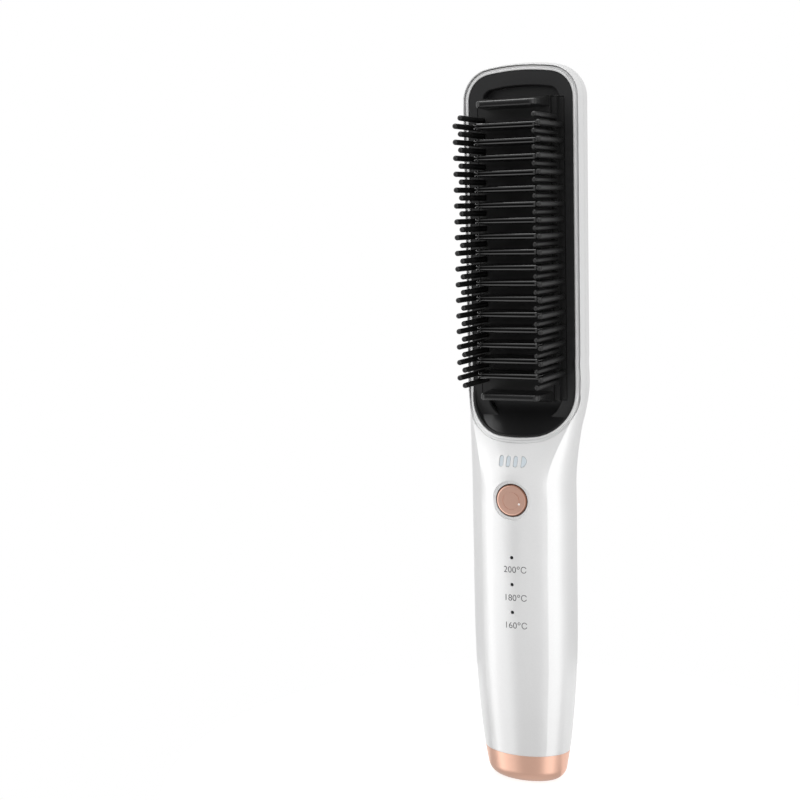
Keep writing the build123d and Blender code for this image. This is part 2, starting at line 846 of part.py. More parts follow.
with BuildPart() as board_components:
    for x, rise, width, height, depth in chips:
        z = board_middle + rise
        box_between(
            (x - width / 2, board_back, z - height / 2),
            (x + width / 2, board_back + depth, z + height / 2),
        )
board_components.part.label = "board_components"
export_step(board_components.part, "parts/board_components.step")

with BuildPart() as gauge_leds:
    for x in gauge_x:
        box_between(
            (x - gauge_led[0] / 2, board_front - led_height, gauge_z - gauge_led[1] / 2),
            (x + gauge_led[0] / 2, board_front, gauge_z + gauge_led[1] / 2),
        )
gauge_leds.part.label = "gauge_leds"
export_step(gauge_leds.part, "parts/gauge_leds.step")

with BuildPart() as gauge_light_guide:
    with BuildSketch(facing(guide_back - guide_plate / 2)):
        gauge_windows(lens_gap)
    extrude(amount=handle_half_depth)
    add(front_form(lens_sink), mode=Mode.INTERSECT)
    guide_half_width = gauge_x[3] + gauge_bar[0] + guide_margin
    guide_half_height = gauge_bar[1] / 2 + guide_margin
    box_between(
        (-guide_half_width, guide_back - guide_plate, gauge_z - guide_half_height),
        (guide_half_width, guide_back, gauge_z + guide_half_height),
    )
gauge_light_guide.part.label = "gauge_light_guide"
export_step(gauge_light_guide.part, "parts/gauge_light_guide.step")

lamp_board_front = lamp_board_back - lamp_board_thickness
with BuildPart() as lamp_board:
    box_between(
        (-lamp_board_half_width, lamp_board_front, lamp_z[0] - lamp_board_end),
        (lamp_board_half_width, lamp_board_back, cell_high),
    )
lamp_board.part.label = "lamp_board"
export_step(lamp_board.part, "parts/lamp_board.step")

with BuildPart() as lamp_leds:
    for z in lamp_z:
        box_between(
            (-lamp_led[0] / 2, lamp_board_front - led_height, z - lamp_led[1] / 2),
            (lamp_led[0] / 2, lamp_board_front, z + lamp_led[1] / 2),
        )
lamp_leds.part.label = "lamp_leds"
export_step(lamp_leds.part, "parts/lamp_leds.step")

with BuildPart() as lamp_light_pipes:
    for z in lamp_z:
        pipe_back = lamp_board_front - led_height - stand_off
        rod_y(0, z, front_crown + lens_sink, pipe_back, lamp_radius - lens_gap)
lamp_light_pipes.part.label = "lamp_light_pipes"
export_step(lamp_light_pipes.part, "parts/lamp_light_pipes.step")


# ------------------------------------------------------------ battery
with BuildPart() as battery_cell:
    rod_z(0, cell_y, cell_low, cell_high, cell_radius)
    fillet(battery_cell.edges(), cell_rounding)
battery_cell.part.label = "battery_cell"
export_step(battery_cell.part, "parts/battery_cell.step")

with BuildPart() as battery_tabs:
    for low in (cell_low - tab_thickness, cell_high):
        box_between(
            (-tab_half_width, cell_y - tab_reach, low),
            (tab_half_width, cell_y + tab_half_width, low + tab_thickness),
        )
battery_tabs.part.label = "battery_tabs"
export_step(battery_tabs.part, "parts/battery_tabs.step")

with BuildPart() as cradle_room:
    add(front_form(wall + fit))
    add(rear_form(wall + fit))
    box_between(
        (-head_half_width, lamp_board_back + stand_off, cradle_low),
        (head_half_width, head_back, cradle_high),
        Mode.INTERSECT,
    )

with BuildPart() as battery_cradle:
    rod_z(0, cell_y, cradle_low, cradle_high, cell_radius + fit + cradle_thickness)
    box_between(
        (-head_half_width, -cradle_rib / 2, cradle_low),
        (head_half_width, cradle_rib / 2, cradle_high),
    )
    add(cradle_room.part, mode=Mode.INTERSECT)
    room_low, room_high = cradle_low + cradle_end, cradle_high - cradle_end
    rod_z(0, cell_y, room_low, room_high, cell_radius + fit, Mode.SUBTRACT)
battery_cradle.part.label = "battery_cradle"
export_step(battery_cradle.part, "parts/battery_cradle.step")


# ------------------------------------------------------------ end cap and charging
seam_half_width = handle_half_width - seam_narrowing
seam_half_depth = handle_half_depth - seam_thinning


def cap_section(z, inset):
    """Half width and half depth of the cap's oval at height z."""
    share = 1 - z / cap_height
    return (
        seam_half_width - base_narrowing * share - inset,
        seam_half_depth - base_thinning * share - inset,
    )


with BuildPart() as end_cap:
    for z in (0, cap_height):
        with BuildSketch(level(z)):
            Ellipse(*cap_section(z, 0))
    loft()
    fillet(end_cap.edges().sort_by(Axis.Z)[0], cap_rounding)
    for z in (cap_floor, cap_height):
        with BuildSketch(level(z)):
            Ellipse(*cap_section(z, cap_wall))
    loft(mode=Mode.SUBTRACT)
    with BuildSketch(level(0)):
        RectangleRounded(
            2 * (socket_half_width + slot_gap), 2 * (socket_half_depth + slot_gap), socket_half_depth
        )
    extrude(amount=cap_floor, mode=Mode.SUBTRACT)
end_cap.part.label = "end_cap"
export_step(end_cap.part, "parts/end_cap.step")

charge_board_back = socket_half_depth + charge_board_thickness
carrier_low = cap_floor + stand_off
carrier_screw_seat = carrier_low + carrier_screw_depth
with BuildPart() as socket_carrier:
    for z, (half_width, half_depth) in (
        (carrier_low, cap_section(carrier_low, cap_wall + fit)),
        (cap_height, cap_section(cap_height, wall + fit)),
        (carrier_high, cap_section(cap_height, wall + fit)),
    ):
        with BuildSketch(level(z)):
            Ellipse(half_width, half_depth)
    loft(ruled=True)
    box_between(
        (-charge_board_half_width - fit, -2 * socket_half_depth, 0),
        (charge_board_half_width + fit, charge_board_back + stand_off, carrier_high),
        Mode.SUBTRACT,
    )
    for side in (-1, 1):
        x = side * carrier_screw_x
        rod_z(x, 0, 0, carrier_high, hole_radius, Mode.SUBTRACT)
        rod_z(x, 0, 0, carrier_screw_seat, screw_head_radius + fit, Mode.SUBTRACT)
socket_carrier.part.label = "socket_carrier"
export_step(socket_carrier.part, "parts/socket_carrier.step")

with BuildPart() as carrier_screws:
    for side in (-1, 1):
        x = side * carrier_screw_x
        head_low_z = carrier_screw_seat - screw_head_height
        rod_z(x, 0, head_low_z, carrier_screw_seat, screw_head_radius)
        rod_z(x, 0, carrier_screw_seat, carrier_high + screw_grip, screw_radius)
carrier_screws.part.label = "carrier_screws"
export_step(carrier_screws.part, "parts/carrier_screws.step")

with BuildPart() as usb_c_socket:
    with BuildSketch(level(socket_low)):
        RectangleRounded(2 * socket_half_width, 2 * socket_half_depth, socket_rounding)
        offset(amount=-socket_shell, mode=Mode.SUBTRACT)
    extrude(amount=socket_high - socket_low)
    with BuildSketch(level(socket_high - 2 * socket_shell)):
        RectangleRounded(2 * socket_half_width, 2 * socket_half_depth, socket_rounding)
    extrude(amount=2 * socket_shell)
    box_between(
        (-tongue_half_width, -tongue_thickness / 2, socket_low + tongue_sink),
        (tongue_half_width, tongue_thickness / 2, socket_high),
    )
usb_c_socket.part.label = "usb_c_socket"
export_step(usb_c_socket.part, "parts/usb_c_socket.step")

with BuildPart() as charge_board:
    box_between(
        (-charge_board_half_width, socket_half_depth, socket_low + charge_board_step),
        (charge_board_half_width, charge_board_back, charge_board_high),
    )
charge_board.part.label = "charge_board"
export_step(charge_board.part, "parts/charge_board.step")


# ------------------------------------------------------------ leads to the heater
lead_back = clamp_back + screw_head_height
lead_front = board_back + lead_radius + stand_off
lead_start = board_high - 2 * lead_bend
with BuildPart() as heater_leads:
    for x in (-lead_x, lead_x):
        with BuildLine() as route:
            FilletPolyline(
                (x, lead_front, lead_start - 2 * lead_bend),
                (x, lead_front, lead_start),
                (x, lead_back, opening_low),
                (x, lead_back, block_low + window_end),
                (x, heater_middle, heater_low - lead_radius),
                radius=lead_bend,
            )
        with BuildSketch(Plane(origin=route.line @ 0, z_dir=route.line % 0)):
            Circle(lead_radius)
        sweep(path=route.line)
heater_leads.part.label = "heater_leads"
export_step(heater_leads.part, "parts/heater_leads.step")
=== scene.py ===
# %% [markdown]
# # A cordless hot comb
#
# The comb stands on its end cap. Its solids come ready from the frame: two white shells,
# a black tray with fins and teeth, a rose-gold button and cap, and the working parts
# inside. This file gives them their finishes, adds the printed temperatures and the light
# on the button, and sets up a small white studio. Every length is in metres, and +Z runs
# up the handle.

import json
import math

import bpy
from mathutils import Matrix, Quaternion, Vector

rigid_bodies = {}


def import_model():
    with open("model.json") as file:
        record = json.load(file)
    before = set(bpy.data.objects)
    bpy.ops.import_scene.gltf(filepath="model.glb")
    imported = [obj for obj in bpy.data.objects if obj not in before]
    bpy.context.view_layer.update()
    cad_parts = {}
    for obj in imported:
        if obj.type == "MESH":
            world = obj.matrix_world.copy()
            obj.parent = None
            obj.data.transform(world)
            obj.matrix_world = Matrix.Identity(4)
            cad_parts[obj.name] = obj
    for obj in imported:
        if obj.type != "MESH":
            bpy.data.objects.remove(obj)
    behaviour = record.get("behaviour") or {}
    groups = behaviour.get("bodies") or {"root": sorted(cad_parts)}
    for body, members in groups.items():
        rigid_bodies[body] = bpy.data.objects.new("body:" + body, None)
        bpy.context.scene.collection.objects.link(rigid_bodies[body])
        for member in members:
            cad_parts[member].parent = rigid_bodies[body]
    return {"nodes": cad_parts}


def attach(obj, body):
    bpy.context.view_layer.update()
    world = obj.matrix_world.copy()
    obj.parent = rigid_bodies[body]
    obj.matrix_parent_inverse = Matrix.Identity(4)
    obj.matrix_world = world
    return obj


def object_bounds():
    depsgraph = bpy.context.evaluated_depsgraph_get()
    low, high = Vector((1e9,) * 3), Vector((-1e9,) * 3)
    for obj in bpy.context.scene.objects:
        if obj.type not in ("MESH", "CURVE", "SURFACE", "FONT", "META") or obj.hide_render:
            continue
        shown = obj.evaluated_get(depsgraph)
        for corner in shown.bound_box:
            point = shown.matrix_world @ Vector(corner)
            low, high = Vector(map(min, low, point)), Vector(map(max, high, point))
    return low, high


MM = 0.001

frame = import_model()
nodes = frame["nodes"]
cad_box = [[float(v) for v in corner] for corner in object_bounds()]
comb_height = cad_box[1][2] - cad_box[0][2]
print("nodes:", len(nodes), "height in mm:", round(comb_height / MM, 1))


def deselect():
    """Clears the selection, so that the next operator works on its own piece only."""
    for thing in bpy.data.objects:
        thing.select_set(False)


deselect()

# %% [markdown]
# ## The camera
#
# A long lens keeps the comb's sides nearly parallel. The camera stands to the right of the
# teeth and a little above the middle. It is rolled by about a degree and a half, so the
# comb leans slightly.

# %% Place the camera
CAMERA_PLACE = Vector((177.7, -463.2, 198.8)) * MM
CAMERA_AIM = Vector((-0.4331, 0.8924, -0.1265))
CAMERA_ROLL = math.radians(-1.44)
LENS = 65.0
NEAREST = 0.01

camera_data = bpy.data.cameras.new("studio_camera")
camera_data.lens = LENS
camera_data.clip_start = NEAREST
camera = bpy.data.objects.new("studio_camera", camera_data)
bpy.context.scene.collection.objects.link(camera)
camera.location = CAMERA_PLACE
turn = CAMERA_AIM.to_track_quat("-Z", "Y") @ Quaternion((0, 0, 1), CAMERA_ROLL)
camera.rotation_euler = turn.to_euler()
bpy.context.scene.camera = camera
print("camera at", [round(v, 3) for v in camera.location])

# %% [markdown]
# ## Soft boxes
#
# White plastic shows its shape only through shade, and black gloss only through what it
# reflects. Tall soft boxes at the sides draw bright bands down the handle, as in a product
# studio, and one overhead lights the edges that face up. Point lamps would draw spots
# instead of bands. The left side has two boxes one above the other. The upper one is
# narrower, because the flat faces of the fins would mirror its inner edge.


# %% Hang the soft boxes
def soft_box(name, place, width, height, power, aim=None):
    """Rectangular lamp at place. It faces aim, or the comb's axis at its own height."""
    lamp = bpy.data.lights.new(name, "AREA")
    lamp.shape = "RECTANGLE"
    lamp.size = width
    lamp.size_y = height
    lamp.energy = power
    holder = bpy.data.objects.new(name, lamp)
    bpy.context.scene.collection.objects.link(holder)
    holder.location = place
    facing = Vector(aim or (0, 0, place[2])) - Vector(place)
    holder.rotation_euler = facing.to_track_quat("-Z", "Y").to_euler()


def around(azimuth, distance, height):
    """Point at an azimuth in degrees, where 0 is straight in front of the teeth."""
    angle = math.radians(azimuth)
    return (distance * math.sin(angle), -distance * math.cos(angle), height)


# Azimuth, distance and height of the middle, then width, height and watts.
SIDE_BOXES = {
    "left_box": (-64, 0.8, 0.05, 0.24, 1.6, 0.9),
    "left_low": (-46, 0.9, -0.405, 0.80, 0.69, 1.294),
    "left_high": (-52, 0.9, 0.395, 0.62, 0.91, 1.322),
    "right_box": (56, 0.8, 0.05, 0.56, 1.6, 3.0),
    "right_edge": (86, 0.9, 0.05, 0.30, 1.6, 0.4),
}
TOP_PLACE = (-0.315, 0.03, 0.97)
TOP_AIM = (0, 0, 0.19)
TOP_SIDE = 0.24
TOP_POWER = 1.0

for name, (azimuth, distance, middle, width, height, power) in SIDE_BOXES.items():
    soft_box(name, around(azimuth, distance, middle), width, height, power)
soft_box("top_box", TOP_PLACE, TOP_SIDE, TOP_SIDE, TOP_POWER, aim=TOP_AIM)

# %% [markdown]
# ## The room
#
# A white floor and wall would need much light to look white, and that light would wash out
# the comb. So Light Path tells the kinds of ray apart. The camera sees white all round.
# Reflections see a white wall behind the comb, a greyer room at its sides, a bright ceiling
# that draws thin lines on the fins, and a dark card in front of their flat faces. Scattered
# light gets an even fill.


# %% Helpers for shader nodes
# The Mix node's sockets go by number, because each data type has sockets of the same name.
FACTOR = 0
FLOAT_A = 2
FLOAT_B = 3
COLOUR_A = 6
COLOUR_B = 7
COLOUR_RESULT = 2


def feed(tree, socket, value):
    """Sets a socket to a number, or links it to another socket."""
    if isinstance(value, (int, float)):
        socket.default_value = value
    else:
        tree.links.new(value, socket)


def ramp(tree, value, start, end, low, high, blend="SMOOTHSTEP"):
    """Socket that goes from low to high while value goes from start to end."""
    node = tree.nodes.new("ShaderNodeMapRange")
    node.interpolation_type = blend
    settings = {
        "Value": value,
        "From Min": start,
        "From Max": end,
        "To Min": low,
        "To Max": high,
    }
    for label, setting in settings.items():
        feed(tree, node.inputs[label], setting)
    return node.outputs["Result"]


def math_node(tree, operation, first, second):
    """Math node on two sockets or numbers. Gives its output socket."""
    node = tree.nodes.new("ShaderNodeMath")
    node.operation = operation
    for socket, value in zip(node.inputs, (first, second)):
        feed(tree, socket, value)
    return node.outputs[0]


print("helpers:", feed.__name__, ramp.__name__, math_node.__name__)

# %% Build the room
# Strengths that a reflection meets.
ROOM = 0.70
WALL = 1.0
BELOW = 0.8
CARD = 0.02
CEILING_LEFT = 1.3
CEILING_RIGHT = 3.2
# Strengths for the camera and for scattered light.
BACKGROUND = 1.0
FILL = 0.52
# A direction, and the cosines of the angles from it where a patch starts and is full.
BELOW_PATCH = ((0, 0, -1), 0.88, 0.95)
CEILING_SPLIT = ((1, 0, 0), -0.372, -0.362)
CEILING_PATCH = ((0, 0, 1), 0.80, 0.88)
CARD_PATCH = ((-0.3684, -0.9293, -0.0265), 0.960, 0.985)
WALL_PATCH = (tuple(CAMERA_AIM), 0.93, 0.97)

world = bpy.data.worlds.new("studio_world")
bpy.context.scene.world = world
world.use_nodes = True
room_tree = world.node_tree
room_tree.nodes.clear()
ways = room_tree.nodes.new("ShaderNodeLightPath")
direction = room_tree.nodes.new("ShaderNodeTexCoord").outputs["Generated"]


def patch(spot, inside, outside):
    """Strength that turns to inside where a ray runs close to the spot's direction."""
    way, start, full = spot
    nearness = room_tree.nodes.new("ShaderNodeVectorMath")
    nearness.operation = "DOT_PRODUCT"
    nearness.inputs[1].default_value = way
    room_tree.links.new(direction, nearness.inputs[0])
    return ramp(room_tree, nearness.outputs["Value"], start, full, outside, inside)


def either(chooser, yes, no):
    """Value yes for the kind of ray that chooser names, and no for the others."""
    mix = room_tree.nodes.new("ShaderNodeMix")
    mix.inputs[FLOAT_B].default_value = yes
    room_tree.links.new(ways.outputs[chooser], mix.inputs[FACTOR])
    room_tree.links.new(no, mix.inputs[FLOAT_A])
    return mix.outputs[0]


mirrored = patch(BELOW_PATCH, BELOW, ROOM)
ceiling = patch(CEILING_SPLIT, CEILING_RIGHT, CEILING_LEFT)
mirrored = patch(CEILING_PATCH, ceiling, mirrored)
mirrored = patch(CARD_PATCH, CARD, mirrored)
mirrored = patch(WALL_PATCH, WALL, mirrored)
strength = either("Is Camera Ray", BACKGROUND, either("Is Diffuse Ray", FILL, mirrored))
sky = room_tree.nodes.new("ShaderNodeBackground")
sky.inputs["Color"].default_value = (1, 1, 1, 1)
room_tree.links.new(strength, sky.inputs["Strength"])
sky_out = room_tree.nodes.new("ShaderNodeOutputWorld")
room_tree.links.new(sky.outputs[0], sky_out.inputs["Surface"])
bpy.context.scene.view_settings.view_transform = "Standard"
print("world nodes:", len(room_tree.nodes))

# %% [markdown]
# ## Surface detail shared by the finishes
#
# Moulded plastic is never quite even: the mould leaves a fine grain, and handling leaves
# slightly duller patches. Pictures could carry that, but they would need an unwrap of every
# piece. Noise on Object coordinates needs none and keeps its scale from piece to piece, so
# one node group works it out, and each finish puts the group in with its own values.

# %% The moulded surface group
GROUP_INPUTS = {
    "Grain Scale": 1500.0,
    "Patch Scale": 60.0,
    "Roughness": 0.3,
    "Spread": 0.1,
    "Fleck": 0.04,
}
GRAIN_DETAIL = 3.0
PATCH_DETAIL = 4.0
SHADE_SWING = 0.04


def new_group(name, inputs, outputs):
    """Empty shader group with its sockets. inputs maps names to defaults."""
    group = bpy.data.node_groups.new(name, "ShaderNodeTree")
    for label, value in inputs.items():
        socket = group.interface.new_socket(label, in_out="INPUT", socket_type="NodeSocketFloat")
        socket.default_value = value
    for label in outputs:
        group.interface.new_socket(label, in_out="OUTPUT", socket_type="NodeSocketFloat")
    entry = group.nodes.new("NodeGroupInput")
    leave = group.nodes.new("NodeGroupOutput")
    return group, entry.outputs, leave.inputs


def noise(tree, coordinates, scale, detail):
    """Noise texture on the given coordinates. Gives its value socket."""
    texture = tree.nodes.new("ShaderNodeTexNoise")
    texture.inputs["Detail"].default_value = detail
    tree.links.new(coordinates, texture.inputs["Vector"])
    feed(tree, texture.inputs["Scale"], scale)
    return texture.outputs[0]


moulded, given, put_out = new_group(
    "moulded_surface", GROUP_INPUTS, ("Roughness", "Height", "Shade")
)
place = moulded.nodes.new("ShaderNodeTexCoord").outputs["Object"]
grain = noise(moulded, place, given["Grain Scale"], GRAIN_DETAIL)
patches = noise(moulded, place, given["Patch Scale"], PATCH_DETAIL)
centred_patches = math_node(moulded, "SUBTRACT", patches, 0.5)
centred_grain = math_node(moulded, "SUBTRACT", grain, 0.5)
spread = math_node(moulded, "MULTIPLY", centred_patches, given["Spread"])
rough = math_node(moulded, "ADD", given["Roughness"], spread)
fleck = math_node(moulded, "MULTIPLY", centred_grain, given["Fleck"])
swing = math_node(moulded, "MULTIPLY", centred_patches, SHADE_SWING)
shade = math_node(moulded, "ADD", swing, 1.0)
moulded.links.new(math_node(moulded, "ADD", shade, fleck), put_out["Shade"])
moulded.links.new(rough, put_out["Roughness"])
moulded.links.new(grain, put_out["Height"])
print("group:", moulded.name, "with", len(moulded.nodes), "nodes")

# %% A finish with that group
GRAIN_HEIGHT = 0.02 * MM
EDGE_SAMPLES = 6


def finish_with_grain(name, colour, roughness, spread, bump, edge=0.0, **sockets):
    """Material of one colour with a moulded surface and soft edges of radius edge.

    sockets set the shader's own values.
    """
    material = bpy.data.materials.new(name)
    material.use_nodes = True
    tree = material.node_tree
    shader = tree.nodes["Principled BSDF"]
    for label, value in sockets.items():
        shader.inputs[label.replace("_", " ")].default_value = value
    surface = tree.nodes.new("ShaderNodeGroup")
    surface.node_tree = moulded
    for label, value in dict(GROUP_INPUTS, Roughness=roughness, Spread=spread).items():
        surface.inputs[label].default_value = value
    relief = tree.nodes.new("ShaderNodeBump")
    relief.inputs["Strength"].default_value = bump
    relief.inputs["Distance"].default_value = GRAIN_HEIGHT
    if edge:
        soft = tree.nodes.new("ShaderNodeBevel")
        soft.samples = EDGE_SAMPLES
        soft.inputs["Radius"].default_value = edge
        tree.links.new(soft.outputs[0], relief.inputs["Normal"])
    tinted = tree.nodes.new("ShaderNodeVectorMath")
    tinted.operation = "SCALE"
    tinted.inputs[0].default_value = colour
    tree.links.new(surface.outputs["Shade"], tinted.inputs["Scale"])
    tree.links.new(tinted.outputs[0], shader.inputs["Base Color"])
    tree.links.new(surface.outputs["Roughness"], shader.inputs["Roughness"])
    tree.links.new(surface.outputs["Height"], relief.inputs["Height"])
    tree.links.new(relief.outputs["Normal"], shader.inputs["Normal"])
    return material


def dress(material, *names):
    """Gives CAD nodes a finish."""
    for name in names:
        nodes[name].material_slots[0].material = material
    print(material.name, "on", ", ".join(names))


print("every finish uses", moulded.name, "with", list(GROUP_INPUTS))

# %% [markdown]
# ## White pearl shell
#
# The shells are white ABS under a pearl lacquer. A coat over a matt base would give a sharp
# line beside a flat white. Pearl flakes mirror softly instead, so the shader is partly a
# metal, and a Bevel node rounds the light on the moulded edges.

# %% Shell finish
SHELL_EDGE = 0.4 * MM

pearl = finish_with_grain(
    "pearl_white",
    (0.84, 0.84, 0.84),
    roughness=0.30,
    spread=0.05,
    bump=0.04,
    edge=SHELL_EDGE,
    Metallic=0.35,
)
dress(pearl, "front_shell", "rear_shell")

# %% [markdown]
# ## Rose gold
#
# The cap and the button are plastic with a metallised satin lacquer, so the shader is a
# metal with a fairly wide highlight and almost no grain.

# %% Rose-gold finish
rose_gold = finish_with_grain(
    "rose_gold",
    (0.77, 0.475, 0.365),
    roughness=0.32,
    spread=0.05,
    bump=0.04,
    Metallic=1.0,
)
dress(rose_gold, "end_cap")

# %% [markdown]
# ## The button's darker skirt
# The button's edge is painted brown. This is painted shade that stands in for the unlit side of
# the button, not a colour of the button itself. The button is one solid, so the rim isn't a
# piece.
# The material finds it by the distance from the button's axis, which stays right when the button
# is pressed.


# %% Button finish
BUTTON_HEIGHT = 101.7 * MM
# Painted shade: from this distance outward the button is painted brown, standing in for its
# unlit side.
SHADE_RIM_START = 4.95 * MM
SHADE_RIM_FULL = 5.25 * MM
SHADE_RIM_BROWN = (0.20, 0.095, 0.065)


def object_axes(tree):
    """Object coordinates of the piece, split into X, Y and Z sockets."""
    split = tree.nodes.new("ShaderNodeSeparateXYZ")
    tree.links.new(tree.nodes.new("ShaderNodeTexCoord").outputs["Object"], split.inputs[0])
    return split.outputs


def button_finish_with_painted_shade():
    """Rose gold that turns brown at the button's edge as painted shade, by the distance from its
    axis.
    """
    material = finish_with_grain(
        "button_rose_gold_painted_shade",
        (0.78, 0.49, 0.39),
        roughness=0.30,
        spread=0.05,
        bump=0.04,
        Metallic=1.0,
    )
    tree = material.node_tree
    shader = tree.nodes["Principled BSDF"]
    lacquer = shader.inputs["Base Color"].links[0].from_socket
    axes = object_axes(tree)
    flat = tree.nodes.new("ShaderNodeCombineXYZ")
    tree.links.new(axes["X"], flat.inputs["X"])
    tree.links.new(math_node(tree, "SUBTRACT", axes["Z"], BUTTON_HEIGHT), flat.inputs["Y"])
    reach = tree.nodes.new("ShaderNodeVectorMath")
    reach.operation = "LENGTH"
    tree.links.new(flat.outputs[0], reach.inputs[0])
    # Painted shade: a brown band at the button's edge stands in for its unlit side wall.
    painted_shade_rim = ramp(tree, reach.outputs["Value"], SHADE_RIM_START, SHADE_RIM_FULL, 0.0, 1.0)
    blend = tree.nodes.new("ShaderNodeMix")
    blend.data_type = "RGBA"
    tree.links.new(painted_shade_rim, blend.inputs[FACTOR])
    tree.links.new(lacquer, blend.inputs[COLOUR_A])
    blend.inputs[COLOUR_B].default_value = (*SHADE_RIM_BROWN, 1)
    tree.links.new(blend.outputs[COLOUR_RESULT], shader.inputs["Base Color"])
    return material


button = nodes["power_button"]
dress(button_finish_with_painted_shade(), "power_button")
button_face = min((button.matrix_world @ Vector(corner)).y for corner in button.bound_box)
print("button face at", round(button_face / MM, 2), "mm")

# %% [markdown]
# ## The light on the button
#
# A tiny clear dome sits on the button's engraved ring, where it could glow while the comb
# is on. It is a sphere, flattened, with its hidden half cut off. A disc would catch no
# bright dot, and a whole sphere would leave faces inside the button. It rides on the button.

# %% Button light
DOME_RADIUS = 0.42 * MM
DOME_RISE = 0.5
DOME_ANGLE = math.radians(-21)
DOME_SEGMENTS = 32
DOME_SMOOTHING = math.radians(40)
RING_RADIUS = 3.05 * MM
DOME_SINK = 0.12 * MM

deselect()
bpy.ops.mesh.primitive_uv_sphere_add(
    segments=DOME_SEGMENTS, ring_count=DOME_SEGMENTS // 2, radius=DOME_RADIUS
)
dome = bpy.context.object
dome.name = "button_light"
bpy.ops.object.mode_set(mode="EDIT")
bpy.ops.mesh.select_all(action="SELECT")
bpy.ops.transform.resize(value=(1, DOME_RISE, 1))
bpy.ops.mesh.bisect(
    plane_co=(0, DOME_SINK, 0), plane_no=(0, 1, 0), use_fill=True, clear_outer=True
)
bpy.ops.object.mode_set(mode="OBJECT")
dome.location = (
    RING_RADIUS * math.cos(DOME_ANGLE),
    button_face,
    BUTTON_HEIGHT + RING_RADIUS * math.sin(DOME_ANGLE),
)
bpy.ops.object.transform_apply(location=True, rotation=True, scale=True)
bpy.ops.object.shade_smooth_by_angle(angle=DOME_SMOOTHING)
clear_dome = finish_with_grain(
    "clear_dome",
    (0.86, 0.80, 0.76),
    roughness=0.12,
    spread=0.02,
    bump=0.01,
    Coat_Weight=0.8,
)
dome.data.materials.append(clear_dome)
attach(dome, "button")
deselect()
print("button_light faces", len(dome.data.polygons))

# %% [markdown]
# ## Black gloss
#
# The tray, the end bars and the teeth are black heat-proof nylon, satin to glossy. The
# fins are aluminium under black ceramic, polished at the crests and dull between them. One
# finish does both, because the material reads the depth from Object Y.

# %% Black finishes
TRAY_EDGE = 0.4 * MM
BAR_EDGE = 0.3 * MM
FIN_CREST = -12.6 * MM
FIN_VALLEY = -9.0 * MM
VALLEY_ROUGHNESS = 0.5

tray_black = finish_with_grain(
    "tray_black",
    (0.012, 0.012, 0.0125),
    roughness=0.42,
    spread=0.06,
    bump=0.06,
    edge=TRAY_EDGE,
    IOR=1.45,
)
teeth_black = finish_with_grain(
    "teeth_black",
    (0.006, 0.006, 0.006),
    roughness=0.40,
    spread=0.08,
    bump=0.06,
    IOR=1.45,
)
bar_black = finish_with_grain(
    "bar_black",
    (0.008, 0.008, 0.008),
    roughness=0.24,
    spread=0.06,
    bump=0.05,
    edge=BAR_EDGE,
    IOR=1.5,
)
ceramic_black = finish_with_grain(
    "ceramic_black",
    (0.003, 0.003, 0.003),
    roughness=0.10,
    spread=0.03,
    bump=0.02,
    IOR=1.5,
    Coat_Weight=0.6,
    Coat_Roughness=0.04,
)


def dull_valleys(material, crest, valley, roughness):
    """Makes a finish rougher from one depth to another, by Object Y."""
    tree = material.node_tree
    socket = tree.nodes["Principled BSDF"].inputs["Roughness"]
    polished = socket.links[0].from_socket
    depth = object_axes(tree)["Y"]
    tree.links.new(ramp(tree, depth, crest, valley, polished, roughness, "LINEAR"), socket)


dull_valleys(ceramic_black, FIN_CREST, FIN_VALLEY, VALLEY_ROUGHNESS)
dress(tray_black, "head_tray")
dress(bar_black, "upper_end_bar", "lower_end_bar")
dress(teeth_black, "left_comb_strip", "right_comb_strip")
dress(ceramic_black, "heating_plate")

# %% [markdown]
# ## Light windows
#
# The battery windows are frosted and faintly blue. The temperature lamps are smoked caps
# that look black while they are off. Real ones let light through. The lamps behind these
# are off, so an opaque finish is enough.

# %% Window finishes
frosted = finish_with_grain(
    "frosted_blue", (0.68, 0.75, 0.80), roughness=0.45, spread=0.05, bump=0.04
)
smoked = finish_with_grain(
    "smoked_lens", (0.01, 0.01, 0.012), roughness=0.2, spread=0.03, bump=0.02
)
dress(frosted, "gauge_light_guide")
dress(smoked, "lamp_light_pipes")

# %% [markdown]
# ## Printed temperatures
#
# The three temperatures are pad-printed in grey ink below their lamps. Each is typed as
# text, turned into a mesh while it lies flat, and stood up in front of the handle. Its
# faces are cut small, so that Shrinkwrap can lay them on the curved shell, and Solidify
# gives the ink its thickness. A picture on the shell would need an unwrap and would blur.

# %% Type and place the labels
INK_SIZE = 3.14 * MM
INK_THINNING = -0.015 * MM
INK_THICKNESS = 0.03 * MM
INK_OUTWARD = 0.4
INK_CENTRE = 1.1 * MM
INK_START = 20 * MM
INK_CUTS = 1
WELD = 0.001 * MM
DEGREES_CELSIUS = "\u2103"
MARK_HEIGHTS = {"200": 77.65 * MM, "180": 67.8 * MM, "160": 58.05 * MM}


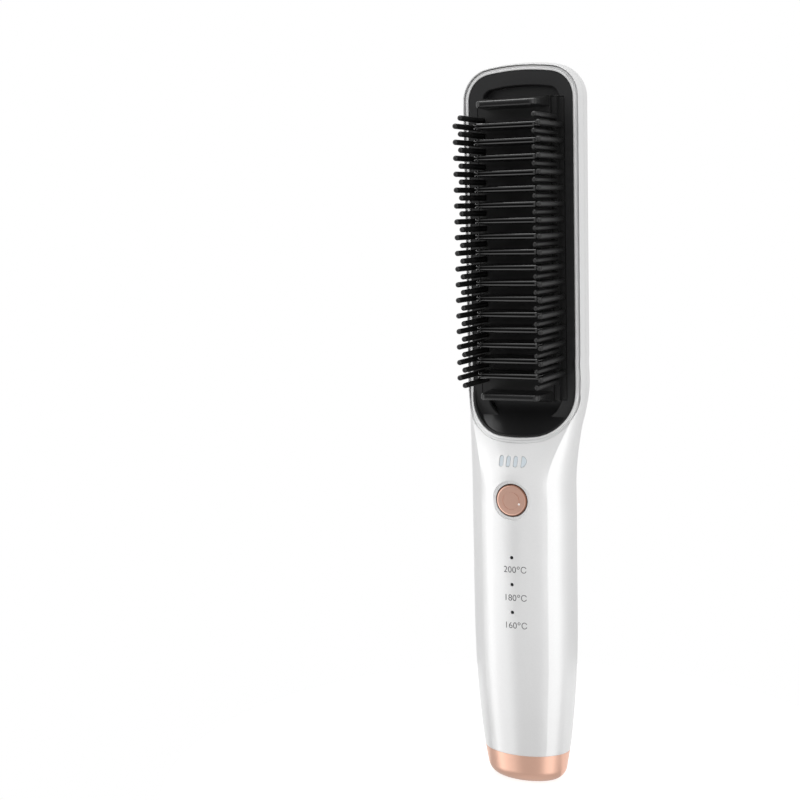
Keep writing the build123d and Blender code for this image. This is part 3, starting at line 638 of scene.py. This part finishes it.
def printed(name, wording, height):
    """Puts wording on the handle's front, with its middle at this height."""
    deselect()
    bpy.ops.object.text_add(location=(0, 0, 0))
    piece = bpy.context.object
    piece.name = name
    piece.data.body = wording
    piece.data.size = INK_SIZE
    piece.data.align_x = "CENTER"
    piece.data.align_y = "CENTER"
    piece.data.offset = INK_THINNING
    bpy.ops.object.convert(target="MESH")
    piece = bpy.context.object
    bpy.ops.object.mode_set(mode="EDIT")
    bpy.ops.mesh.select_all(action="SELECT")
    bpy.ops.mesh.remove_doubles(threshold=WELD)
    bpy.ops.mesh.quads_convert_to_tris()
    bpy.ops.mesh.subdivide(number_cuts=INK_CUTS)
    bpy.ops.object.mode_set(mode="OBJECT")
    piece.rotation_euler = (math.radians(90), 0, 0)
    piece.location = (INK_CENTRE, -INK_START, height)
    bpy.ops.object.transform_apply(location=True, rotation=True, scale=True)
    wrap = piece.modifiers.new("lay_on_shell", "SHRINKWRAP")
    wrap.target = nodes["front_shell"]
    wrap.wrap_method = "PROJECT"
    wrap.use_project_y = True
    wrap.use_positive_direction = True
    wrap.use_negative_direction = False
    wrap.offset = 0.0
    body = piece.modifiers.new("ink_layer", "SOLIDIFY")
    body.thickness = INK_THICKNESS
    body.offset = INK_OUTWARD
    for modifier in (wrap.name, body.name):
        bpy.ops.object.modifier_apply(modifier=modifier)
    piece.data.materials.clear()
    piece.data.materials.append(ink)
    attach(piece, "handle")
    front = round(piece.bound_box[0][1] / MM, 2)
    print(name, "faces", len(piece.data.polygons), "front at", front)


ink = finish_with_grain(
    "grey_ink", (0.10, 0.10, 0.105), roughness=0.55, spread=0.1, bump=0.1
)
for mark, height in MARK_HEIGHTS.items():
    printed("mark_" + mark, mark + DEGREES_CELSIUS, height)
deselect()

# %% [markdown]
# ## The working parts
#
# They are hidden when the comb is whole, but each has its own plain finish, so that the
# comb can be shown open. A table holds them, because they differ only in their values.

# %% Inner finishes
INNER_SPREAD = 0.08
INNER_BUMP = 0.1
# Colour, roughness and metallic, then the nodes.
INNER = {
    "board_green": ((0.02, 0.16, 0.06), 0.35, 0.0, ("main_board", "lamp_board", "charge_board")),
    "moulded_black": (
        (0.02, 0.02, 0.02),
        0.5,
        0.0,
        ("switch_body", "switch_plunger", "board_components"),
    ),
    "moulded_grey": ((0.10, 0.10, 0.11), 0.55, 0.0, ("battery_cradle", "socket_carrier")),
    "plated_steel": (
        (0.60, 0.60, 0.62),
        0.35,
        1.0,
        ("shell_screws", "clamp_screws", "board_screws", "carrier_screws", "usb_c_socket"),
    ),
    "nickel_strip": ((0.70, 0.68, 0.62), 0.3, 1.0, ("battery_tabs", "thermal_fuse")),
    "bare_aluminium": ((0.72, 0.73, 0.75), 0.4, 1.0, ("heater_clamp",)),
    "cell_sleeve": ((0.03, 0.12, 0.35), 0.4, 0.0, ("battery_cell",)),
    "heater_ceramic": ((0.60, 0.58, 0.52), 0.7, 0.0, ("ptc_heaters",)),
    "mica": ((0.46, 0.38, 0.22), 0.6, 0.0, ("mica_sheet",)),
    "glass_felt": ((0.78, 0.76, 0.70), 0.95, 0.0, ("heat_blanket",)),
    "red_silicone": ((0.45, 0.03, 0.02), 0.5, 0.0, ("heater_leads",)),
    "amber_bead": ((0.50, 0.20, 0.05), 0.2, 0.0, ("thermistor",)),
    "clear_led": ((0.80, 0.80, 0.70), 0.2, 0.0, ("gauge_leds", "lamp_leds")),
}
for name, (colour, roughness, metallic, members) in INNER.items():
    inner = finish_with_grain(
        name, colour, roughness, INNER_SPREAD, INNER_BUMP, Metallic=metallic
    )
    dress(inner, *members)

# %% [markdown]
# ## The floor
#
# The floor takes the comb's soft shadow. Its grey paint glows for the camera and for
# reflections, so that it meets the white room without a line, and the shadow stays a pale
# grey. Reflections look through its front half, or the cap would mirror the disc's edge.

# %% Floor
FLOOR_RADIUS = 0.13
FLOOR_SIDES = 128
FLOOR_GREY = 0.55
FLOOR_ROUGHNESS = 0.9
FLOOR_GLOW = 0.75

bpy.ops.mesh.primitive_circle_add(
    vertices=FLOOR_SIDES, radius=FLOOR_RADIUS, fill_type="NGON", location=(0, 0, cad_box[0][2])
)
floor = bpy.context.object
floor.name = "studio_floor"
floor_paint = bpy.data.materials.new("floor_paint")
floor_paint.use_nodes = True
floor_tree = floor_paint.node_tree
floor_shader = floor_tree.nodes["Principled BSDF"]
floor_shader.inputs["Base Color"].default_value = (FLOOR_GREY, FLOOR_GREY, FLOOR_GREY, 1)
floor_shader.inputs["Roughness"].default_value = FLOOR_ROUGHNESS
floor_shader.inputs["Specular IOR Level"].default_value = 0.0
floor_shader.inputs["Emission Color"].default_value = (1, 1, 1, 1)
rays = floor_tree.nodes.new("ShaderNodeLightPath").outputs
seen_in = math_node(floor_tree, "MAXIMUM", rays["Is Glossy Ray"], rays["Is Transmission Ray"])
seen = math_node(floor_tree, "MAXIMUM", rays["Is Camera Ray"], seen_in)
glow = math_node(floor_tree, "MULTIPLY", seen, FLOOR_GLOW)
floor_tree.links.new(glow, floor_shader.inputs["Emission Strength"])
in_front = math_node(floor_tree, "LESS_THAN", object_axes(floor_tree)["Y"], 0.0)
clear = math_node(floor_tree, "MULTIPLY", in_front, rays["Is Glossy Ray"])
see_through = floor_tree.nodes.new("ShaderNodeBsdfTransparent")
choice = floor_tree.nodes.new("ShaderNodeMixShader")
floor_tree.links.new(clear, choice.inputs[0])
floor_tree.links.new(floor_shader.outputs[0], choice.inputs[1])
floor_tree.links.new(see_through.outputs[0], choice.inputs[2])
floor_tree.links.new(choice.outputs[0], floor_tree.nodes["Material Output"].inputs["Surface"])
floor.data.materials.append(floor_paint)
deselect()
print("floor at", round(floor.location.z, 4))
